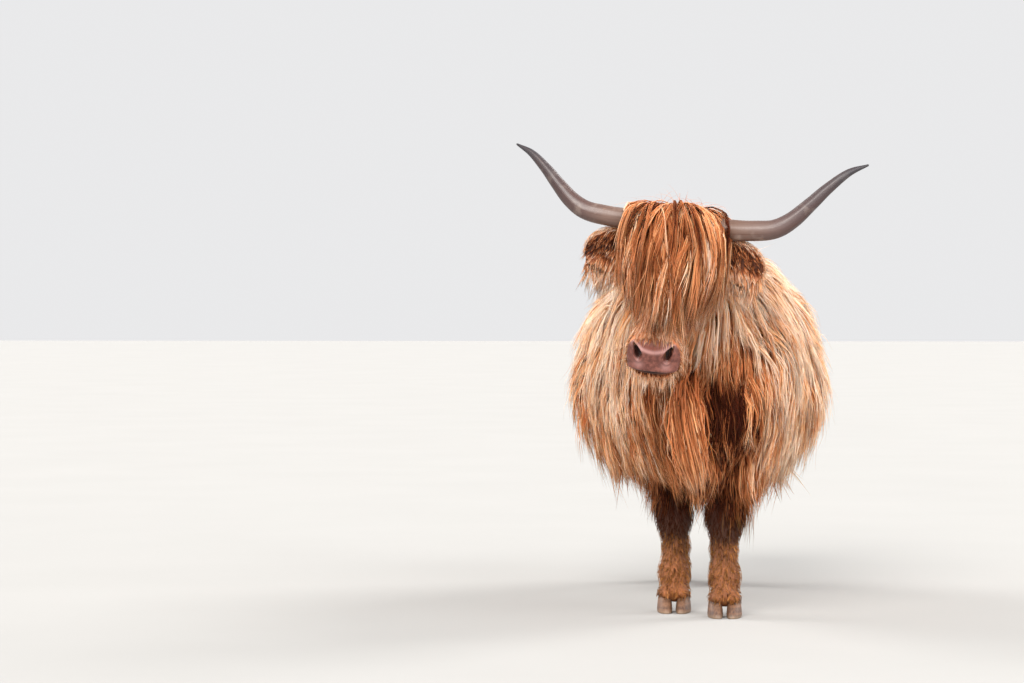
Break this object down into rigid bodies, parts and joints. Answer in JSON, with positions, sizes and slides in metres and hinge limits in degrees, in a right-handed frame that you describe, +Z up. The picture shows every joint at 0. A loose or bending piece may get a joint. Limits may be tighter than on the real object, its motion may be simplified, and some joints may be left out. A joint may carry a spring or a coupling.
{
  "type": "highland cow",
  "caption": "Life-size highland cow standing still, with a long shaggy red-blond coat, a fringe over the eyes, drooping ears and wide upswept horns. It stands on flat hooves.",
  "frame": {"origin": "on the floor, under the centre of the bounding box", "axes": "+Z up, -Y the way the cow faces, +X towards its left side"},
  "size_m": [1.0288, 2.0104, 1.4328],
  "materials": {
    "coat": "long wavy hair, blond tips over orange-brown",
    "red_coat": "long hair, red-brown",
    "forelock_hair": "long straight hair, orange-brown with blond strands",
    "short_hair": "short flat hair, reddish",
    "ear_hair": "short dark red hair inside, blond fringe",
    "nose_skin": "bare moist skin, pinkish brown",
    "udder_skin": "soft skin under fine short hair",
    "horn": "horn, grey-mauve with dark tips, satin",
    "hoof": "horn, dark brown, worn matte",
    "eye": "wet, dark brown"
  },
  "bodies": {
    "root": {"head": "coat", "muzzle": "nose_skin", "lower_jaw": "short_hair", "forelock": "forelock_hair", "left_eye": "eye", "right_eye": "eye", "left_horn": "horn", "right_horn": "horn", "left_ear": "ear_hair", "right_ear": "ear_hair", "neck": "coat", "dewlap": "red_coat", "trunk": "coat", "tail": "coat", "tail_switch": "red_coat", "udder": "udder_skin", "left_fore_upper": "red_coat", "left_fore_lower": "short_hair", "left_fore_outer_claw": "hoof", "left_fore_inner_claw": "hoof", "left_fore_outer_dewclaw": "hoof", "left_fore_inner_dewclaw": "hoof", "right_fore_upper": "red_coat", "right_fore_lower": "short_hair", "right_fore_outer_claw": "hoof", "right_fore_inner_claw": "hoof", "right_fore_outer_dewclaw": "hoof", "right_fore_inner_dewclaw": "hoof", "left_hind_upper": "red_coat", "left_hind_lower": "short_hair", "left_hind_outer_claw": "hoof", "left_hind_inner_claw": "hoof", "left_hind_outer_dewclaw": "hoof", "left_hind_inner_dewclaw": "hoof", "right_hind_upper": "red_coat", "right_hind_lower": "short_hair", "right_hind_outer_claw": "hoof", "right_hind_inner_claw": "hoof", "right_hind_outer_dewclaw": "hoof", "right_hind_inner_dewclaw": "hoof"}
  },
  "joints": []
}
